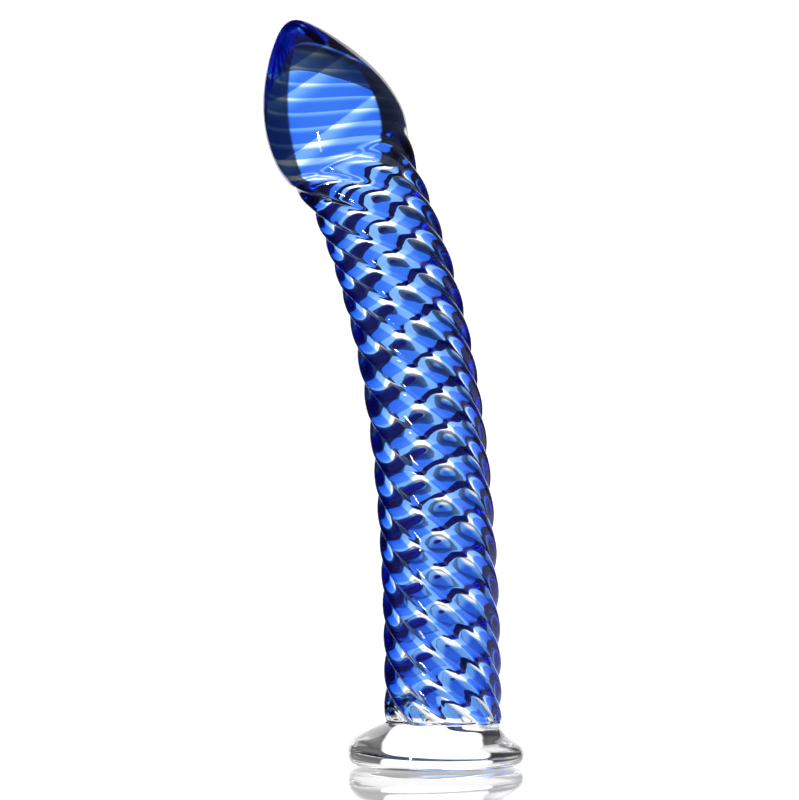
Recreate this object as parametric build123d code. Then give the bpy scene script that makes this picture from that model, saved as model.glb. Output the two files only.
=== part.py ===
from build123d import *
from math import cos, radians, sin, sqrt
import os

# A solid glass wand with a bowed, rope-twisted shaft, an egg-shaped head and a disc foot.
# Millimetres, +Z up, and the wand bows towards -X in the XZ plane. The origin is the centre of the
# foot's flat underside. Clear glass makes the foot, the skirt and the core. Nine blue canes are laid
# side by side round the core, twisted left-handed, left as ribs on the shaft and smoothed flat on
# the head, and a drop of blue closes their ends at the tip.

# Centreline: an upright start off the foot, a growing lean, then a head that straightens a little.
SHAFT_START = Vector(1.67, 0, 10.6)
SHAFT_RISE = 70.0
NECK = Vector(-21.0, 0, 149.0)
NECK_LEAN = 27.0
NECK_REACH = 33.0
HEAD_REACH = 18.7
HEAD_END = Vector(-35.8, 0, 183.3)

# Shaft section: the core's radius, the rib crests at each end, and the depth of the grooves. Each
# crest is this share of the way across its cane, so a rib is steep on one flank and long on the
# other. A flank's handles are shares of its width: the longer the handle, the rounder the rib.
CORE_R = 11.8
CREST_R_FOOT = 14.5
CREST_R_NECK = 14.1
GROOVE_DEPTH = 1.6
CREST_PLACE = 0.34
ROUND_HANDLE = 1 / 3
CREST_ROUNDING = 0.12

# Neck: the ribs flare out to the head, and their grooves fade away just above it.
FLARE = 9.0
FADE_BELOW = 5.0
FADE_ABOVE = 2.5

# Canes: their number, where the first groove starts, and how much the widths vary round the core.
CANES = 9
CANE_PITCH = 360 / CANES
FIRST_GROOVE = 266.8
WIDTH_SWING = 7.6
WIDTH_PHASE = 12.0

# Twist in degrees per millimetre: slowest part way up the shaft, and much tighter in the head.
SLOWEST_TWIST = 4.49
SLOWEST_AT = 65.7
TWIST_GROWTH = 1.84e-4
HEAD_TWIST = 10.4
HEAD_TWIST_EASE = 0.03

# Head: radii along its own axis. The core inside it ends flat under the tip bead.
HEAD_R = 17.2
HEAD_BASE_R = 15.8
HEAD_WIDEST_AT = 6.8
HEAD_POINTEDNESS = 0.4
HEAD_CORE_R = 15.5
TIP_BEAD = 2.6
TIP_CORE_R = 2.6

# Skirt: the clear ring of rib ends between the foot's neck and the blue.
SKIRT = 1.8

# Foot, bottom to top: height, sideways shift of the centre, and radius.
FOOT_FLAT_R = 19.0
FOOT_RINGS = [
    (0.0, 0.0, FOOT_FLAT_R),
    (0.5, 0.0, 20.4),
    (1.4, 0.0, 21.3),
    (3.0, 0.0, 21.6),
    (4.6, -0.3, 21.2),
    (6.0, -0.8, 20.0),
    (7.4, -1.1, 18.3),
    (9.2, 0.0, 15.9),
    (SHAFT_START.Z, SHAFT_START.X, 14.2),
]

# Lofts: degrees of twist between a section and the next, and the steps in the skirt and the bead.
SECTION_STEP = 16.0
SKIRT_STEPS = 2
BEAD_STEPS = 3


def leaning(length, lean):
    """A vector of this length, leaning this many degrees from +Z towards -X."""
    return Vector(-length * sin(radians(lean)), 0, length * cos(radians(lean)))


SHAFT_LINE = Bezier(
    SHAFT_START,
    SHAFT_START + Vector(0, 0, SHAFT_RISE),
    NECK - leaning(NECK_REACH, NECK_LEAN),
    NECK,
)
HEAD_LINE = Bezier(NECK, NECK + leaning(HEAD_REACH, NECK_LEAN), HEAD_END)
SHAFT_LENGTH = SHAFT_LINE.length
HEAD_LENGTH = HEAD_LINE.length
CANE_END = SHAFT_LENGTH + HEAD_LENGTH - TIP_BEAD


def station(along):
    """The plane across the centreline, this many millimetres from the foot, with x outwards."""
    line, start = (SHAFT_LINE, 0) if along <= SHAFT_LENGTH else (HEAD_LINE, SHAFT_LENGTH)
    middle = line.position_at(along - start, position_mode=PositionMode.LENGTH)
    ahead = line.tangent_at(along - start, position_mode=PositionMode.LENGTH)
    return Plane(middle, x_dir=Vector(0, 1, 0).cross(ahead), z_dir=ahead)


def smooth(value, low, high):
    """A smooth step from 0 at low to 1 at high."""
    share = min(max((value - low) / (high - low), 0), 1)
    return share * share * (3 - 2 * share)


def twist(along):
    """Degrees that the canes have turned, this far from the foot."""
    shaft = min(along, SHAFT_LENGTH)
    head = max(along - SHAFT_LENGTH, 0)
    growth = (shaft - SLOWEST_AT) ** 3 + SLOWEST_AT**3
    turned = SLOWEST_TWIST * shaft + TWIST_GROWTH * growth / 3
    return turned + HEAD_TWIST * head - HEAD_TWIST_EASE * head**2


def groove_angle(index):
    """Angle of a groove round the core before any twist. Nine of them make one turn."""
    even = CANE_PITCH * index
    return FIRST_GROOVE + even + WIDTH_SWING * cos(radians(even - WIDTH_PHASE))


def egg_radius(above, widest, base):
    """Radius of an egg this far above the neck, from its cut base to its closed tip."""
    if above < HEAD_WIDEST_AT:
        return widest - (widest - base) * (1 - above / HEAD_WIDEST_AT) ** 2
    rise = (above - HEAD_WIDEST_AT) / (HEAD_LENGTH - HEAD_WIDEST_AT)
    return widest * sqrt(1 - rise**2) * (1 - HEAD_POINTEDNESS * rise**2)


def crest_radius(along):
    """Radius of the rib crests on the shaft, and of the smooth surface of the head."""
    above = along - SHAFT_LENGTH
    if above > 0:
        return egg_radius(above, HEAD_R, HEAD_BASE_R)
    crest = CREST_R_FOOT + (CREST_R_NECK - CREST_R_FOOT) * along / SHAFT_LENGTH
    return crest + (HEAD_BASE_R - crest) * smooth(above, -FLARE, 0)


def groove_radius(along):
    """Radius at the bottom of the grooves, which fade away above the neck."""
    above = along - SHAFT_LENGTH
    return crest_radius(along) - GROOVE_DEPTH * (1 - smooth(above, -FADE_BELOW, FADE_ABOVE))


def core_radius(along):
    """Radius of the clear core, which swells from the shaft into the head."""
    above = along - SHAFT_LENGTH
    if above < HEAD_WIDEST_AT:
        return CORE_R + (HEAD_CORE_R - CORE_R) * smooth(above, -FLARE, HEAD_WIDEST_AT)
    end = HEAD_LENGTH - TIP_BEAD
    inset = (HEAD_R - HEAD_CORE_R) * smooth(above, HEAD_WIDEST_AT, end)
    return max(egg_radius(above, HEAD_CORE_R, CORE_R) - inset, TIP_CORE_R)


def at(radius, angle):
    """A point on a section plane, from its radius and its angle in degrees."""
    return Vector(radius * cos(radians(angle)), radius * sin(radians(angle)))


def flank(start, end, handles):
    """A curve between two (radius, angle) places that is square to the radius at both of them."""
    turn = radians(end[1] - start[1])
    leaves = at(start[0] * turn * handles[0], start[1] + 90)
    arrives = at(end[0] * turn * handles[1], end[1] + 90)
    return Bezier(at(*start), at(*start) + leaves, at(*end) - arrives, at(*end))


def cane_section(index, along):
    """One cane cut across: a rounded rib, an arc on the core, and a short side to each neighbour."""
    start = groove_angle(index) - twist(along)
    end = groove_angle(index + 1) - twist(along)
    top = start + (end - start) * CREST_PLACE
    groove, crest, inner = groove_radius(along), crest_radius(along), core_radius(along)
    handle = ROUND_HANDLE + CREST_ROUNDING * (crest - groove) / GROOVE_DEPTH
    steep = flank((groove, start), (crest, top), (ROUND_HANDLE, handle))
    long = flank((crest, top), (groove, end), (handle, ROUND_HANDLE))
    inside = ThreePointArc(at(inner, end), at(inner, (start + end) / 2), at(inner, start))
    sides = [Line(long @ 1, inside @ 0), Line(inside @ 1, steep @ 0)]
    return station(along) * Wire([steep, long, sides[0], inside, sides[1]])


def steps(start, end, count):
    """Evenly spaced values from start to end, with both ends."""
    return [start + (end - start) * i / count for i in range(count + 1)]


def section_steps(start):
    """Distances for the sections from start to the canes' end, evenly spaced in shaft and head."""
    on_shaft = steps(start, SHAFT_LENGTH, round(twist(SHAFT_LENGTH) / SECTION_STEP))
    in_head = round((twist(CANE_END) - twist(SHAFT_LENGTH)) / SECTION_STEP)
    return on_shaft + steps(SHAFT_LENGTH, CANE_END, in_head)[1:]


def rib(index, distances):
    """One rib of glass between its two grooves, lofted over these distances."""
    return Solid.make_loft([cane_section(index, along) for along in distances])


def core_rod():
    """The clear core: a round rod up the shaft that swells to fill the head."""
    rings = []
    for along in section_steps(0):
        rings.append(station(along) * Wire([Circle(core_radius(along)).edge()]))
    return Solid.make_loft(rings)


def skirt():
    """The clear ends of the ribs, fused side by side into one ring on the foot's neck."""
    distances = steps(0, SKIRT, SKIRT_STEPS)
    ring = rib(0, distances)
    for index in range(1, CANES):
        ring = ring + rib(index, distances)
    return ring


def tip_bead():
    """The drop of blue glass that closes the canes' ends."""
    heights = [TIP_BEAD * sin(radians(angle)) for angle in steps(0, 90, BEAD_STEPS)]
    points = [Vector(crest_radius(CANE_END + height), 0, height) for height in heights]
    dome = Spline(points, tangents=[Vector(-1, 0, 1), Vector(-1, 0, 0)])
    floor = Line(dome @ 1, Vector(0, 0, 0))
    edges = [dome, floor, Line(floor @ 1, dome @ 0)]
    return station(CANE_END) * revolve(Face(Wire(edges)), Axis.Z)


def foot():
    """The clear pressed disc, with its shoulder drawn over to the shaft."""
    rings = []
    for height, shift, radius in FOOT_RINGS:
        rings.append(Plane.XY.offset(height) * Pos(shift, 0) * Wire([Circle(radius).edge()]))
    return Solid.make_loft(rings)


def build():
    """Every glass piece by name."""
    pieces = {"foot": foot(), "skirt": skirt(), "core_rod": core_rod(), "tip_bead": tip_bead()}
    for index in range(CANES):
        pieces[f"cane_{index + 1}"] = rib(index, section_steps(SKIRT))
    return pieces


os.makedirs("parts", exist_ok=True)
for name, piece in build().items():
    export_step(piece, f"parts/{name}.step")
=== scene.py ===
import math

import bpy
import numpy as np
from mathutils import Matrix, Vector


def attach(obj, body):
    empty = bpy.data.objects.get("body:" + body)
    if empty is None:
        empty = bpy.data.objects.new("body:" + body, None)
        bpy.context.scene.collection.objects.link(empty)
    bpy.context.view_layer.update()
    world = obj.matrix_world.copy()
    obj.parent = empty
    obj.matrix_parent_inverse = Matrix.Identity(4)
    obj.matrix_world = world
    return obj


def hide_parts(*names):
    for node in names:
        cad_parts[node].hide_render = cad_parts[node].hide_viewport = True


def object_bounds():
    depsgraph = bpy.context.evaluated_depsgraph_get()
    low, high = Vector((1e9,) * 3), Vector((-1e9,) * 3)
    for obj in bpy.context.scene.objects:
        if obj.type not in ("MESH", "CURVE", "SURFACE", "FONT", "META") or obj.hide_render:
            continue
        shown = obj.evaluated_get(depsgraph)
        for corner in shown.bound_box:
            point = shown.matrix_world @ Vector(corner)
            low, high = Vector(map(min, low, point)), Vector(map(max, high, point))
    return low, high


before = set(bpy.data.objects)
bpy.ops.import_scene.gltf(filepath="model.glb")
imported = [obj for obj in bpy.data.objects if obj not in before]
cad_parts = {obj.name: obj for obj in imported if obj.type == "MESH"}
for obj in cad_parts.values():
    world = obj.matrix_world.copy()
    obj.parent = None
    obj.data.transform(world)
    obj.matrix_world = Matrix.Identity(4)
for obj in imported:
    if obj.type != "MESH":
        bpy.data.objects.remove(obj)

cad_low, cad_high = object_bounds()

# Metres in a millimetre. The wand's dimensions below are in millimetres, the same as the CAD model's.
MM = 0.001

# Centreline, as (x, z) in the plane of the bow: upright off the foot, a growing lean, then the head.
SHAFT_START = np.array([1.67, 10.6])
SHAFT_RISE = 70.0
NECK = np.array([-21.0, 149.0])
NECK_LEAN = 27.0
NECK_REACH = 33.0
HEAD_REACH = 18.7
HEAD_END = np.array([-35.8, 183.3])

# Shaft section: the core, the rib crests at each end, and the grooves between them. A crest is nearer
# one side of its cane, so a rib is steep on one flank and long on the other. The handles round it.
CORE_R = 11.8
CREST_R_FOOT = 14.5
CREST_R_NECK = 14.1
GROOVE_DEPTH = 1.6
CREST_PLACE = 0.34
ROUND_HANDLE = 1 / 3
CREST_ROUNDING = 0.12

# Neck: the ribs flare out to the head, and their grooves fade away just above it.
FLARE = 9.0
FADE_BELOW = 5.0
FADE_ABOVE = 2.5

# Canes: their number, where the first groove starts, and how much the widths vary round the core.
CANES = 9
CANE_PITCH = 360 / CANES
FIRST_GROOVE = 266.8
WIDTH_SWING = 7.6
WIDTH_PHASE = 12.0

# Twist in degrees per millimetre: slowest part way up the shaft, and much tighter in the head.
SLOWEST_TWIST = 4.49
SLOWEST_AT = 65.7
TWIST_GROWTH = 1.84e-4
HEAD_TWIST = 10.4
HEAD_TWIST_EASE = 0.03

# Head: radii along its own axis, and the bead that closes it.
HEAD_R = 17.2
HEAD_BASE_R = 15.8
HEAD_WIDEST_AT = 6.8
HEAD_POINTEDNESS = 0.4
HEAD_CORE_R = 15.5
TIP_BEAD = 2.6
TIP_CORE_R = 2.6

# Skirt: the clear rib ends. Their lower edge is rolled in, and above them each cane's blue starts as a
# rounded tongue, whose rows are even again at this distance up the shaft.
SKIRT = 1.8
SKIRT_ROLL = 0.5
TONGUE = 4.2
TONGUE_END = 10.0

# Foot, bottom to top: height, sideways shift of the centre, and radius.
FOOT_RINGS = [
    (0.0, 0.0, 19.0),
    (0.5, 0.0, 20.4),
    (1.4, 0.0, 21.3),
    (3.0, 0.0, 21.6),
    (4.6, -0.3, 21.2),
    (6.0, -0.8, 20.0),
    (7.4, -1.1, 18.3),
    (9.2, 0.0, 15.9),
    (SHAFT_START[1], SHAFT_START[0], 14.2),
]

# Thickness of a cane's blue glass: full at the foot, full in the head, and the film where it is clear.
BLUE_FOOT = 1.6
BLUE_HEAD = 1.35
BLUE_EDGE = 0.03

# Where the blue starts, is full, starts to fade and has gone, as shares of the way across a cane: on
# the shaft, in the head, and at the back of the head, where it thins out over most of its width.
SHAFT_BLUE = (0.11, 0.16, 0.64, 0.83)
HEAD_BLUE = (0.0, 0.045, 0.6, 1.0)
BACK_BLUE = (0.0, 0.045, 0.2, 0.95)

# The head's pattern takes over between these distances above the neck, and the back's between these
# sines of the angle round to the back. There a seam marked 1 has closed up and the rest are wide.
HEAD_SEAMS = (4.0, 10.0)
BACK_SEAMS = (0.0, 0.7)
CLOSED_SEAMS = (0, 1, 0, 1, 0, 1, 0, 1, 0)

# The visible core is this far inside the CAD one, so that no two fused faces lie on each other.
CORE_INSET = 0.35

# Mesh fineness: points on the centreline, millimetres between rows, rows in a tongue and in the bead,
# steps between two rings of the foot, columns across a cane and round a ring, and what is an edge.
LINE_POINTS = 4001
ROW_STEP = 0.6
TONGUE_ROWS = 14
BEAD_ROWS = 12
FOOT_STEPS = 8
CANE_COLUMNS = 40
RING_COLUMNS = 144
SHARP_ANGLE = 35.0

# Glass. The blue lets through this colour, and absorbs (1 - colour) times the density in each metre.
# Waves that the flame left: their scale, and their depth in metres.
GLASS_IOR = 1.47
BLUE_DENSITY = 1267.0
BLUE_COLOUR = (0.0, 0.45, 0.9, 1.0)
BLUE_WAVES = (140.0, 1.5e-5)
CLEAR_WAVES = (140.0, 2.0e-5)
FOOT_WAVES = (90.0, 4.0e-5)
WAVE_DETAIL = 1.5

# Studio, as the glass sees it: a bright wall behind, a weak light in front, a weaker one from the
# right, and the rest dark. A pair is where a light is full and where it has gone, in degrees sideways
# from straight behind the wand or up from level, or for the right as a share of the direction.
WALL = 1.35
WALL_SIDE = (25.5, 28.5)
WALL_TOP = (34.0, 40.0)
WALL_FOOT = (-30.0, -34.0)
FRONT_FILL = 0.25
FRONT_SIDE = (120.0, 80.0)
RIGHT_FILL = 0.12
RIGHT_REACH = (0.6, 0.1)
AMBIENT = 0.03

# Floor, in metres and degrees: its size, how far it is under the foot, the least glow that glass sees
# on it (painted shade), the painted pool of light round the foot, the painted front light's spread,
# and its gloss.
FLOOR_R = 0.45
FLOOR_SIDES = 96
FLOOR_DROP = 0.0002
FLOOR_PAINTED_SHADE = 0.03
FLOOR_PAINTED_POOL = (0.15, 0.20)
FLOOR_PAINTED_FRONT = (100.0, 60.0)
FLOOR_IOR = 1.5
FLOOR_ROUGHNESS = 0.03

# Lamp: width and height in metres, watts, degrees round to the left, and its place in metres.
LAMP_SIZE = (0.03, 0.16)
LAMP_POWER = 1.8
LAMP_TURN = 32.0
LAMP_AWAY = 0.5
LAMP_HEIGHT = 0.05

# Camera, in metres with its lens in millimetres, and how often light may bounce in the glass.
CAMERA_PLACE = (-0.0090, -1.0933, 0.0899)
LENS = 200.0
SENSOR = 36.0
GLASS_BOUNCES = 32
GLOSS_BOUNCES = 16
FUSED_BOUNCES = 64


def leaning(length, lean):
    """A vector of this length, leaning this many degrees from up towards -x."""
    return length * np.array([-math.sin(math.radians(lean)), math.cos(math.radians(lean))])


def bezier(points):
    """Points along a Bezier curve, worked out by blending neighbours until one is left."""
    share = np.linspace(0, 1, LINE_POINTS)[:, None]
    level = [np.array(p, float)[None, :] for p in points]
    while len(level) > 1:
        level = [(1 - share) * a + share * b for a, b in zip(level, level[1:])]
    return level[0]


SHAFT_LINE = bezier(
    [SHAFT_START, SHAFT_START + [0, SHAFT_RISE], NECK - leaning(NECK_REACH, NECK_LEAN), NECK]
)
HEAD_LINE = bezier([NECK, NECK + leaning(HEAD_REACH, NECK_LEAN), HEAD_END])


def line_length(line):
    """Length of a line through points."""
    return float(np.linalg.norm(np.diff(line, axis=0), axis=1).sum())


SHAFT_LENGTH = line_length(SHAFT_LINE)
HEAD_LENGTH = line_length(HEAD_LINE)
CANE_END = SHAFT_LENGTH + HEAD_LENGTH - TIP_BEAD
LINE = np.vstack([SHAFT_LINE, HEAD_LINE[1:]])
LINE_ALONG = np.concatenate([[0], np.cumsum(np.linalg.norm(np.diff(LINE, axis=0), axis=1))])
LINE_AHEAD = np.gradient(LINE, axis=0)
LINE_AHEAD /= np.linalg.norm(LINE_AHEAD, axis=1)[:, None]


def place(along, radius, angle):
    """Points at a distance along the wand, a radius, and an angle in degrees round it, in metres."""
    along, radius, angle = np.broadcast_arrays(along, radius, np.radians(angle))
    middle = [np.interp(along, LINE_ALONG, LINE[:, i]) for i in (0, 1)]
    ahead = [np.interp(along, LINE_ALONG, LINE_AHEAD[:, i]) for i in (0, 1)]
    out = radius * np.cos(angle)
    x = middle[0] + out * ahead[1]
    z = middle[1] - out * ahead[0]
    return np.stack([x, radius * np.sin(angle), z], axis=-1) * MM


def smooth(value, low, high):
    """A smooth step from 0 at low to 1 at high."""
    share = np.clip((value - low) / (high - low), 0, 1)
    return share * share * (3 - 2 * share)


def twist(along):
    """Degrees that the canes have turned, this far from the foot."""
    shaft = np.minimum(along, SHAFT_LENGTH)
    head = np.maximum(along - SHAFT_LENGTH, 0)
    growth = (shaft - SLOWEST_AT) ** 3 + SLOWEST_AT**3
    turned = SLOWEST_TWIST * shaft + TWIST_GROWTH * growth / 3
    return turned + HEAD_TWIST * head - HEAD_TWIST_EASE * head**2


def groove_angle(index):
    """Angle of a groove round the core before any twist. Nine of them make one turn."""
    even = CANE_PITCH * index
    return FIRST_GROOVE + even + WIDTH_SWING * math.cos(math.radians(even - WIDTH_PHASE))


def egg_radius(above, widest, base):
    """Radius of an egg this far above the neck, from its cut base to its closed tip."""
    rise = np.clip((above - HEAD_WIDEST_AT) / (HEAD_LENGTH - HEAD_WIDEST_AT), 0, 1)
    lower = widest - (widest - base) * (1 - above / HEAD_WIDEST_AT) ** 2
    upper = widest * np.sqrt(1 - rise**2) * (1 - HEAD_POINTEDNESS * rise**2)
    return np.where(above < HEAD_WIDEST_AT, lower, upper)


def crest_radius(along):
    """Radius of the rib crests on the shaft, and of the smooth surface of the head."""
    above = along - SHAFT_LENGTH
    crest = CREST_R_FOOT + (CREST_R_NECK - CREST_R_FOOT) * along / SHAFT_LENGTH
    shaft = crest + (HEAD_BASE_R - crest) * smooth(above, -FLARE, 0)
    return np.where(above > 0, egg_radius(np.maximum(above, 0), HEAD_R, HEAD_BASE_R), shaft)


def groove_radius(along):
    """Radius at the bottom of the grooves, which fade away above the neck."""
    above = along - SHAFT_LENGTH
    return crest_radius(along) - GROOVE_DEPTH * (1 - smooth(above, -FADE_BELOW, FADE_ABOVE))


def core_radius(along):
    """Radius of the clear core, which swells from the shaft into the head."""
    above = along - SHAFT_LENGTH
    swell = CORE_R + (HEAD_CORE_R - CORE_R) * smooth(above, -FLARE, HEAD_WIDEST_AT)
    inset = (HEAD_R - HEAD_CORE_R) * smooth(above, HEAD_WIDEST_AT, HEAD_LENGTH - TIP_BEAD)
    egg = egg_radius(np.maximum(above, HEAD_WIDEST_AT), HEAD_CORE_R, CORE_R) - inset
    return np.where(above < HEAD_WIDEST_AT, swell, np.maximum(egg, TIP_CORE_R))


def flank(share, start, end, handles):
    """Radius and angle along a curve between two places, square to the radius at both of them."""
    turn = end[1] - start[1]
    first, last = start[0] * np.exp(1j * start[1]), end[0] * np.exp(1j * end[1])
    second, third = first * (1 + 1j * turn * handles[0]), last * (1 - 1j * turn * handles[1])
    rest = 1 - share
    curve = rest**3 * first + 3 * rest * share * (rest * second + share * third) + share**3 * last
    middle = (start[1] + end[1]) / 2
    return np.abs(curve), middle + np.angle(curve * np.exp(-1j * middle))


def cane_skin(index, along):
    """Radius, angle and share of the way across a cane, up its steep flank and down its long one."""
    start = np.radians(groove_angle(index) - twist(along))
    end = np.radians(groove_angle(index + 1) - twist(along))
    top = start + (end - start) * CREST_PLACE
    groove, crest = groove_radius(along), crest_radius(along)
    handle = ROUND_HANDLE + CREST_ROUNDING * (crest - groove) / GROOVE_DEPTH
    column = np.linspace(0, 2, CANE_COLUMNS + 1)
    steep = flank(np.minimum(column, 1), (groove, start), (crest, top), (ROUND_HANDLE, handle))
    long = flank(np.maximum(column - 1, 0), (crest, top), (groove, end), (handle, ROUND_HANDLE))
    radius, angle = [np.where(column < 1, a, b) for a, b in zip(steep, long)]
    return radius, np.degrees(angle), (angle - start) / (end - start)


def cane_start(index):
    """Where the blue of a cane begins above the foot, across the cane: a rounded tongue."""
    share = cane_skin(index, np.zeros((1, 1)))[2]
    return SKIRT + TONGUE * (1 - np.sqrt(np.clip(1 - (2 * share - 1) ** 2, 0, 1)))


def quads(grid, flip=False, wrap=False):
    """Faces of a grid of vertex numbers, facing away from the wand unless flipped."""
    if wrap:
        grid = np.hstack([grid, grid[:, :1]])
    corners = [grid[:-1, :-1], grid[:-1, 1:], grid[1:, 1:], grid[1:, :-1]]
    faces = np.stack([c.ravel() for c in corners], axis=1)
    return faces[:, ::-1] if flip else faces


def add_piece(name, points, parts, material, node):
    """A closed mesh from positions and (faces, whether fused) pairs, smooth but for its edges."""
    faces = [tuple(face) for part, _ in parts for face in part.tolist()]
    mesh = bpy.data.meshes.new(name)
    mesh.from_pydata(points.tolist(), [], faces)
    fused = np.concatenate([np.full(len(part), number, np.float32) for part, number in parts])
    mesh.attributes.new("fused", "FLOAT", "FACE").data.foreach_set("value", fused)
    mesh.polygons.foreach_set("use_smooth", np.ones(len(faces), bool))
    mesh.materials.append(material)
    piece = bpy.data.objects.new(name, mesh)
    bpy.context.scene.collection.objects.link(piece)
    mesh.update()
    mesh.set_sharp_from_angle(angle=math.radians(SHARP_ANGLE))
    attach(piece, "root")
    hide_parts(node)


def even_rows(start, end):
    """Evenly spaced distances along the wand, one to a row."""
    return np.linspace(start, end, round((end - start) / ROW_STEP) + 1)[:, None]


def tongue_rows(start, end):
    """Rows between two distances along the wand, which may differ from column to column."""
    return start + (end - start) * np.linspace(0, 1, TONGUE_ROWS + 1)[:, None]


def blend(first, second, share):
    """Each value of the first list on its way to the second's."""
    return [a + (b - a) * share for a, b in zip(first, second)]


def blue_depth(index, along, angle, share):
    """
    Thickness of a cane's blue glass. On the shaft the valleys are clear. In the head only thin
    seams are, except at the back, where every other seam is wide and the rest have closed up.
    """
    head = smooth(along - SHAFT_LENGTH, *HEAD_SEAMS)
    back = head * smooth(np.sin(np.radians(angle)), *BACK_SEAMS)
    start, full, fade, end = blend(SHAFT_BLUE, blend(HEAD_BLUE, BACK_BLUE, back), head)
    open_below, open_above = [1 - back * CLOSED_SEAMS[i % CANES] for i in (index, index + 1)]
    below = 1 - open_below * (1 - smooth(share, start, full))
    above = 1 - open_above * smooth(share, fade, end)
    deep = BLUE_FOOT + (BLUE_HEAD - BLUE_FOOT) * np.minimum(along / SHAFT_LENGTH, 1)
    return deep * below * above + BLUE_EDGE


def add_cane(index, material):
    """The blue of a cane: a closed shell that follows the rib and thins out towards the grooves."""
    tongue = tongue_rows(cane_start(index), TONGUE_END)
    above = even_rows(TONGUE_END, CANE_END)[1:]
    along = np.vstack([tongue, np.repeat(above, tongue.shape[1], axis=1)])
    outer, angle, share = cane_skin(index, along)
    blue = blue_depth(index, along, angle, share)
    points = np.concatenate([place(along, outer, angle), place(along, outer - blue, angle)])
    rows, columns = along.shape
    skin = np.arange(rows * columns).reshape(rows, columns)
    lining = skin + rows * columns
    parts = [
        (quads(skin), 0),
        (quads(lining, flip=True), 1),
        (quads(np.stack([lining[:, 0], skin[:, 0]], axis=1)), 1),
        (quads(np.stack([skin[:, -1], lining[:, -1]], axis=1)), 1),
        (quads(np.stack([lining[0], skin[0]])), 1),
        (quads(np.stack([skin[-1], lining[-1]])), 1),
    ]
    name = f"cane_{index + 1}"
    add_piece(f"{name}_glass", points.reshape(-1, 3), parts, material, name)


def add_skirt(material):
    """The clear rib ends under the blue tongues, as one ring."""
    skins = []
    linings = []
    for index in range(CANES):
        along = tongue_rows(0, cane_start(index))
        outer, angle, _ = cane_skin(index, along)
        rolled = outer - SKIRT_ROLL * (1 - smooth(along, 0, 2 * SKIRT_ROLL))
        skins.append(place(along, rolled, angle)[:, :-1])
        linings.append(place(along, core_radius(along) - CORE_INSET / 2, angle)[:, :-1])
    skin_points, lining_points = np.hstack(skins), np.hstack(linings)
    rows, columns = skin_points.shape[:2]
    skin = np.arange(rows * columns).reshape(rows, columns)
    lining = skin + rows * columns
    parts = [
        (quads(skin, wrap=True), 0),
        (quads(lining, flip=True, wrap=True), 1),
        (quads(np.stack([lining[0], skin[0]]), wrap=True), 1),
        (quads(np.stack([skin[-1], lining[-1]]), wrap=True), 1),
    ]
    points = np.concatenate([skin_points.reshape(-1, 3), lining_points.reshape(-1, 3)])
    add_piece("skirt_glass", points, parts, material, "skirt")


def add_round(name, rings, fused, material, node):
    """A closed round piece from rings of points, with 1 for a fused base, side or top, else 0."""
    rows, columns = rings.shape[:2]
    grid = np.arange(rows * columns).reshape(rows, columns)
    base, top = rows * columns, rows * columns + 1
    ends = np.stack([rings[0].mean(0), rings[-1].mean(0)])
    points = np.concatenate([rings.reshape(-1, 3), ends])
    first, last = grid[0], grid[-1]
    floor = np.stack([np.full(columns, base), np.roll(first, -1), first], axis=1)
    lid = np.stack([np.full(columns, top), last, np.roll(last, -1)], axis=1)
    parts = [(floor, fused[0]), (quads(grid, wrap=True), fused[1]), (lid, fused[2])]
    add_piece(name, points, parts, material, node)


def ring_angles():
    """Angles in degrees of the columns round a ring."""
    return np.arange(RING_COLUMNS) * 360 / RING_COLUMNS


def add_core(material):
    """The clear core, fused to everything round it."""
    along = even_rows(0, CANE_END)
    rings = place(along, core_radius(along) - CORE_INSET, ring_angles())
    add_round("core_glass", rings, (1, 1, 1), material, "core_rod")


def add_tip(material):
    """The blue drop at the tip, whose surface carries on from the canes."""
    height = TIP_BEAD * np.sin(np.linspace(0, math.pi / 2, BEAD_ROWS + 1))[:-1, None]
    along = CANE_END + height
    rings = place(along, crest_radius(along), ring_angles())
    add_round("tip_bead_glass", rings, (1, 0, 0), material, "tip_bead")


def curve_through(points, steps):
    """A smooth curve through points, with each stretch shaped by its neighbours."""
    points = np.array(points, float)
    longer = np.vstack([2 * points[0] - points[1], points, 2 * points[-1] - points[-2]])
    out = []
    for a, b, c, d in zip(longer, longer[1:], longer[2:], longer[3:]):
        for t in np.linspace(0, 1, steps, endpoint=False):
            pull = (c - a) * t + (2 * a - 5 * b + 4 * c - d) * t**2 + (3 * b - a - 3 * c + d) * t**3
            out.append(b + pull / 2)
    return np.array(out + [points[-1]])


def add_foot(material):
    """The clear disc foot, flat underneath, with its shoulder drawn over to the shaft."""
    angle = np.radians(ring_angles())
    rings = []
    for height, shift, radius in curve_through(FOOT_RINGS, FOOT_STEPS):
        x, y = shift + radius * np.cos(angle), radius * np.sin(angle)
        rings.append(np.stack([x, y, np.full_like(x, height)], axis=-1) * MM)
    add_round("foot_glass", np.array(rings), (0, 0, 1), material, "foot")


def new_material(name):
    """An empty node material, with its nodes and links."""
    material = bpy.data.materials.new(name)
    material.use_nodes = True
    material.node_tree.nodes.clear()
    return material, material.node_tree.nodes, material.node_tree.links


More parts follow.
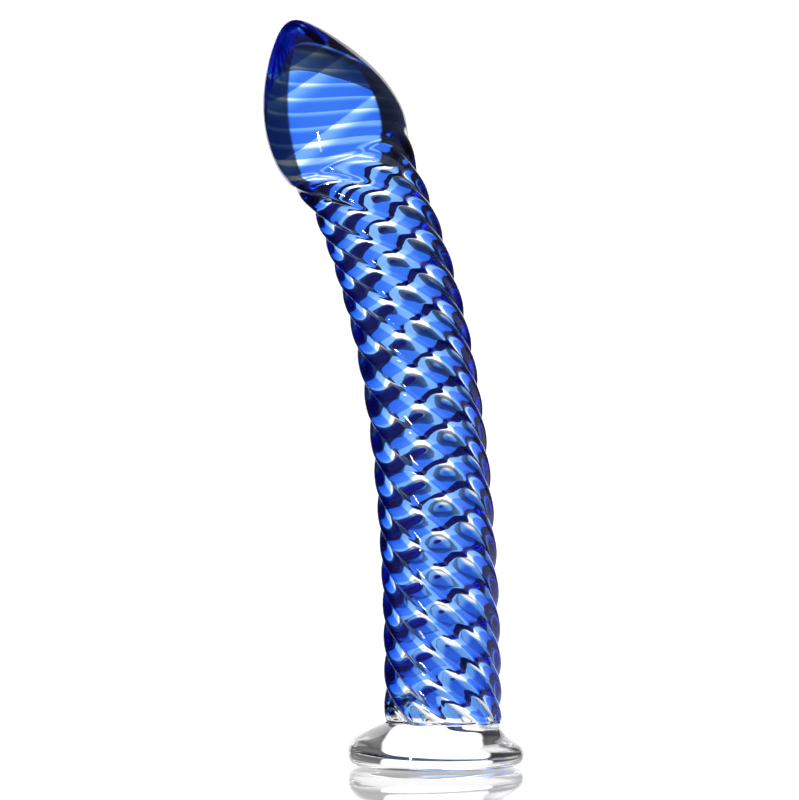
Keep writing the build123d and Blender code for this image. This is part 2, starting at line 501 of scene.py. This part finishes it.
def glass(name, waves, blue=False):
    """
    Fire-polished glass with the faint waves that a flame leaves. Where it is fused to other glass
    it has no surface, so light goes straight on.
    """
    wave_scale, wave_depth = waves
    material, nodes, links = new_material(name)
    output = nodes.new("ShaderNodeOutputMaterial")
    skin = nodes.new("ShaderNodeBsdfPrincipled")
    skin.inputs["Base Color"].default_value = (1, 1, 1, 1)
    skin.inputs["Roughness"].default_value = 0.0
    skin.inputs["IOR"].default_value = GLASS_IOR
    skin.inputs["Transmission Weight"].default_value = 1.0
    where = nodes.new("ShaderNodeTexCoord")
    noise = nodes.new("ShaderNodeTexNoise")
    noise.inputs["Scale"].default_value = wave_scale
    noise.inputs["Detail"].default_value = WAVE_DETAIL
    bump = nodes.new("ShaderNodeBump")
    bump.inputs["Strength"].default_value = 1.0
    bump.inputs["Distance"].default_value = wave_depth
    links.new(where.outputs["Object"], noise.inputs["Vector"])
    links.new(noise.outputs["Fac"], bump.inputs["Height"])
    links.new(bump.outputs["Normal"], skin.inputs["Normal"])
    fused = nodes.new("ShaderNodeBsdfTransparent")
    mark = nodes.new("ShaderNodeAttribute")
    mark.attribute_name = "fused"
    mix = nodes.new("ShaderNodeMixShader")
    links.new(mark.outputs["Fac"], mix.inputs["Fac"])
    links.new(skin.outputs["BSDF"], mix.inputs[1])
    links.new(fused.outputs["BSDF"], mix.inputs[2])
    links.new(mix.outputs["Shader"], output.inputs["Surface"])
    if blue:
        volume = nodes.new("ShaderNodeVolumeAbsorption")
        volume.inputs["Color"].default_value = BLUE_COLOUR
        volume.inputs["Density"].default_value = BLUE_DENSITY
        links.new(volume.outputs["Volume"], output.inputs["Volume"])
    return material


def add_glass():
    """Every piece of the wand, in its own glass."""
    blue = glass("blue_glass", BLUE_WAVES, blue=True)
    clear = glass("clear_glass", CLEAR_WAVES)
    foot = glass("foot_glass", FOOT_WAVES)
    for index in range(CANES):
        add_cane(index, blue)
    add_tip(blue)
    add_skirt(clear)
    add_core(clear)
    add_foot(foot)


def math_node(nodes, links, operation, *inputs):
    """The output of a Math node, whose inputs are numbers or other nodes' outputs."""
    node = nodes.new("ShaderNodeMath")
    node.operation = operation
    for socket, value in zip(node.inputs, inputs):
        if isinstance(value, (int, float)):
            socket.default_value = value
        else:
            links.new(value, socket)
    return node.outputs[0]


def fade_node(nodes, links, value, ends):
    """A smooth fade from 1 at the first end to 0 at the second."""
    node = nodes.new("ShaderNodeMapRange")
    node.interpolation_type = "SMOOTHSTEP"
    links.new(value, node.inputs["Value"])
    node.inputs["From Min"].default_value = ends[1]
    node.inputs["From Max"].default_value = ends[0]
    return node.outputs["Result"]


def turned_node(nodes, links, x, y):
    """Degrees sideways from straight behind the wand, the same to either side."""
    side = math_node(nodes, links, "ABSOLUTE", math_node(nodes, links, "ARCTAN2", x, y))
    return math_node(nodes, links, "DEGREES", side)


def painted_floor_glow(nodes, links):
    """Painted glow of the floor: white to the camera. Glass sees a painted pool of light round the
    foot, painted grey front light in front of it, and painted shade elsewhere.
    """
    where = nodes.new("ShaderNodeTexCoord")
    parts = nodes.new("ShaderNodeSeparateXYZ")
    links.new(where.outputs["Object"], parts.inputs["Vector"])
    x, y, _ = parts.outputs
    squares = [math_node(nodes, links, "POWER", part, 2.0) for part in (x, y)]
    reach = math_node(nodes, links, "ADD", *squares)
    # Painted pool of light round the foot and painted grey front light; elsewhere the floor glows only
    # at the painted shade level.
    painted_pool = fade_node(nodes, links, reach, [radius**2 for radius in FLOOR_PAINTED_POOL])
    front = fade_node(nodes, links, turned_node(nodes, links, x, y), FLOOR_PAINTED_FRONT)
    front = math_node(nodes, links, "MULTIPLY", front, FRONT_FILL)
    light = math_node(nodes, links, "MAXIMUM", painted_pool, front)
    light = math_node(nodes, links, "MAXIMUM", light, FLOOR_PAINTED_SHADE)
    path = nodes.new("ShaderNodeLightPath")
    return math_node(nodes, links, "MAXIMUM", light, path.outputs["Is Camera Ray"])


def add_floor():
    """A glossy table top that glows from within, so that it stays white to the camera and shows glass
    a painted pool of light and painted shade, and that mirrors the foot.
    """
    material, nodes, links = new_material("floor_painted_glow")
    output = nodes.new("ShaderNodeOutputMaterial")
    # The floor glows though it is no lamp: this is painted light and shade.
    glow = nodes.new("ShaderNodeEmission")
    links.new(painted_floor_glow(nodes, links), glow.inputs["Strength"])
    gloss = nodes.new("ShaderNodeBsdfGlossy")
    gloss.inputs["Color"].default_value = (1, 1, 1, 1)
    gloss.inputs["Roughness"].default_value = FLOOR_ROUGHNESS
    fresnel = nodes.new("ShaderNodeFresnel")
    fresnel.inputs["IOR"].default_value = FLOOR_IOR
    mix = nodes.new("ShaderNodeMixShader")
    links.new(fresnel.outputs["Fac"], mix.inputs["Fac"])
    links.new(glow.outputs["Emission"], mix.inputs[1])
    links.new(gloss.outputs["BSDF"], mix.inputs[2])
    links.new(mix.outputs["Shader"], output.inputs["Surface"])
    bpy.ops.mesh.primitive_circle_add(vertices=FLOOR_SIDES, radius=FLOOR_R, fill_type="NGON")
    floor = bpy.context.object
    floor.name = "floor"
    floor.location.z = cad_low.z - FLOOR_DROP
    floor.data.materials.append(material)


def add_world():
    """White where the picture shows it, and round the glass a bright wall behind and dim sides."""
    world = bpy.data.worlds.new("studio")
    bpy.context.scene.world = world
    world.use_nodes = True
    nodes, links = world.node_tree.nodes, world.node_tree.links
    nodes.clear()
    output = nodes.new("ShaderNodeOutputWorld")
    where = nodes.new("ShaderNodeTexCoord")
    parts = nodes.new("ShaderNodeSeparateXYZ")
    links.new(where.outputs["Generated"], parts.inputs["Vector"])
    x, y, z = parts.outputs
    side = turned_node(nodes, links, x, y)
    lift = math_node(nodes, links, "DEGREES", math_node(nodes, links, "ARCSINE", z))
    wall = fade_node(nodes, links, side, WALL_SIDE)
    for ends in (WALL_TOP, WALL_FOOT):
        wall = math_node(nodes, links, "MULTIPLY", wall, fade_node(nodes, links, lift, ends))
    wall = math_node(nodes, links, "MULTIPLY", wall, WALL)
    front = fade_node(nodes, links, side, FRONT_SIDE)
    front = math_node(nodes, links, "MULTIPLY", front, FRONT_FILL)
    right = fade_node(nodes, links, x, RIGHT_REACH)
    right = math_node(nodes, links, "MULTIPLY", right, RIGHT_FILL)
    light = math_node(nodes, links, "ADD", wall, AMBIENT)
    light = math_node(nodes, links, "ADD", light, math_node(nodes, links, "MAXIMUM", front, right))
    path = nodes.new("ShaderNodeLightPath")
    seen = math_node(nodes, links, "MAXIMUM", light, path.outputs["Is Camera Ray"])
    background = nodes.new("ShaderNodeBackground")
    background.inputs["Color"].default_value = (1, 1, 1, 1)
    links.new(seen, background.inputs["Strength"])
    links.new(background.outputs["Background"], output.inputs["Surface"])


def add_lamp():
    """A narrow upright soft box in front and to the left, which draws short streaks on the ribs."""
    data = bpy.data.lights.new("streak_box", "AREA")
    data.shape = "RECTANGLE"
    data.size, data.size_y = LAMP_SIZE
    data.energy = LAMP_POWER
    lamp = bpy.data.objects.new("streak_box", data)
    bpy.context.scene.collection.objects.link(lamp)
    middle = (cad_low + cad_high) / 2
    turn = math.radians(LAMP_TURN)
    left, near = LAMP_AWAY * math.sin(turn), LAMP_AWAY * math.cos(turn)
    lamp.location = (middle.x - left, -near, LAMP_HEIGHT)
    lamp.rotation_euler = (middle - lamp.location).to_track_quat("-Z", "Y").to_euler()
    lamp.visible_camera = False


def add_camera():
    """A long lens, level with the middle of the wand."""
    data = bpy.data.cameras.new("camera")
    data.lens = LENS
    data.sensor_width = SENSOR
    camera = bpy.data.objects.new("camera", data)
    camera.location = CAMERA_PLACE
    camera.rotation_euler = (math.radians(90), 0, 0)
    bpy.context.scene.collection.objects.link(camera)
    bpy.context.scene.camera = camera


def set_up_scene():
    """Plain colours, and enough bounces for light to get right through the glass."""
    scene = bpy.context.scene
    scene.view_settings.view_transform = "Standard"
    scene.cycles.max_bounces = GLASS_BOUNCES
    scene.cycles.transmission_bounces = GLASS_BOUNCES
    scene.cycles.glossy_bounces = GLOSS_BOUNCES
    scene.cycles.transparent_max_bounces = FUSED_BOUNCES


add_camera()
add_glass()
add_floor()
add_world()
add_lamp()
set_up_scene()
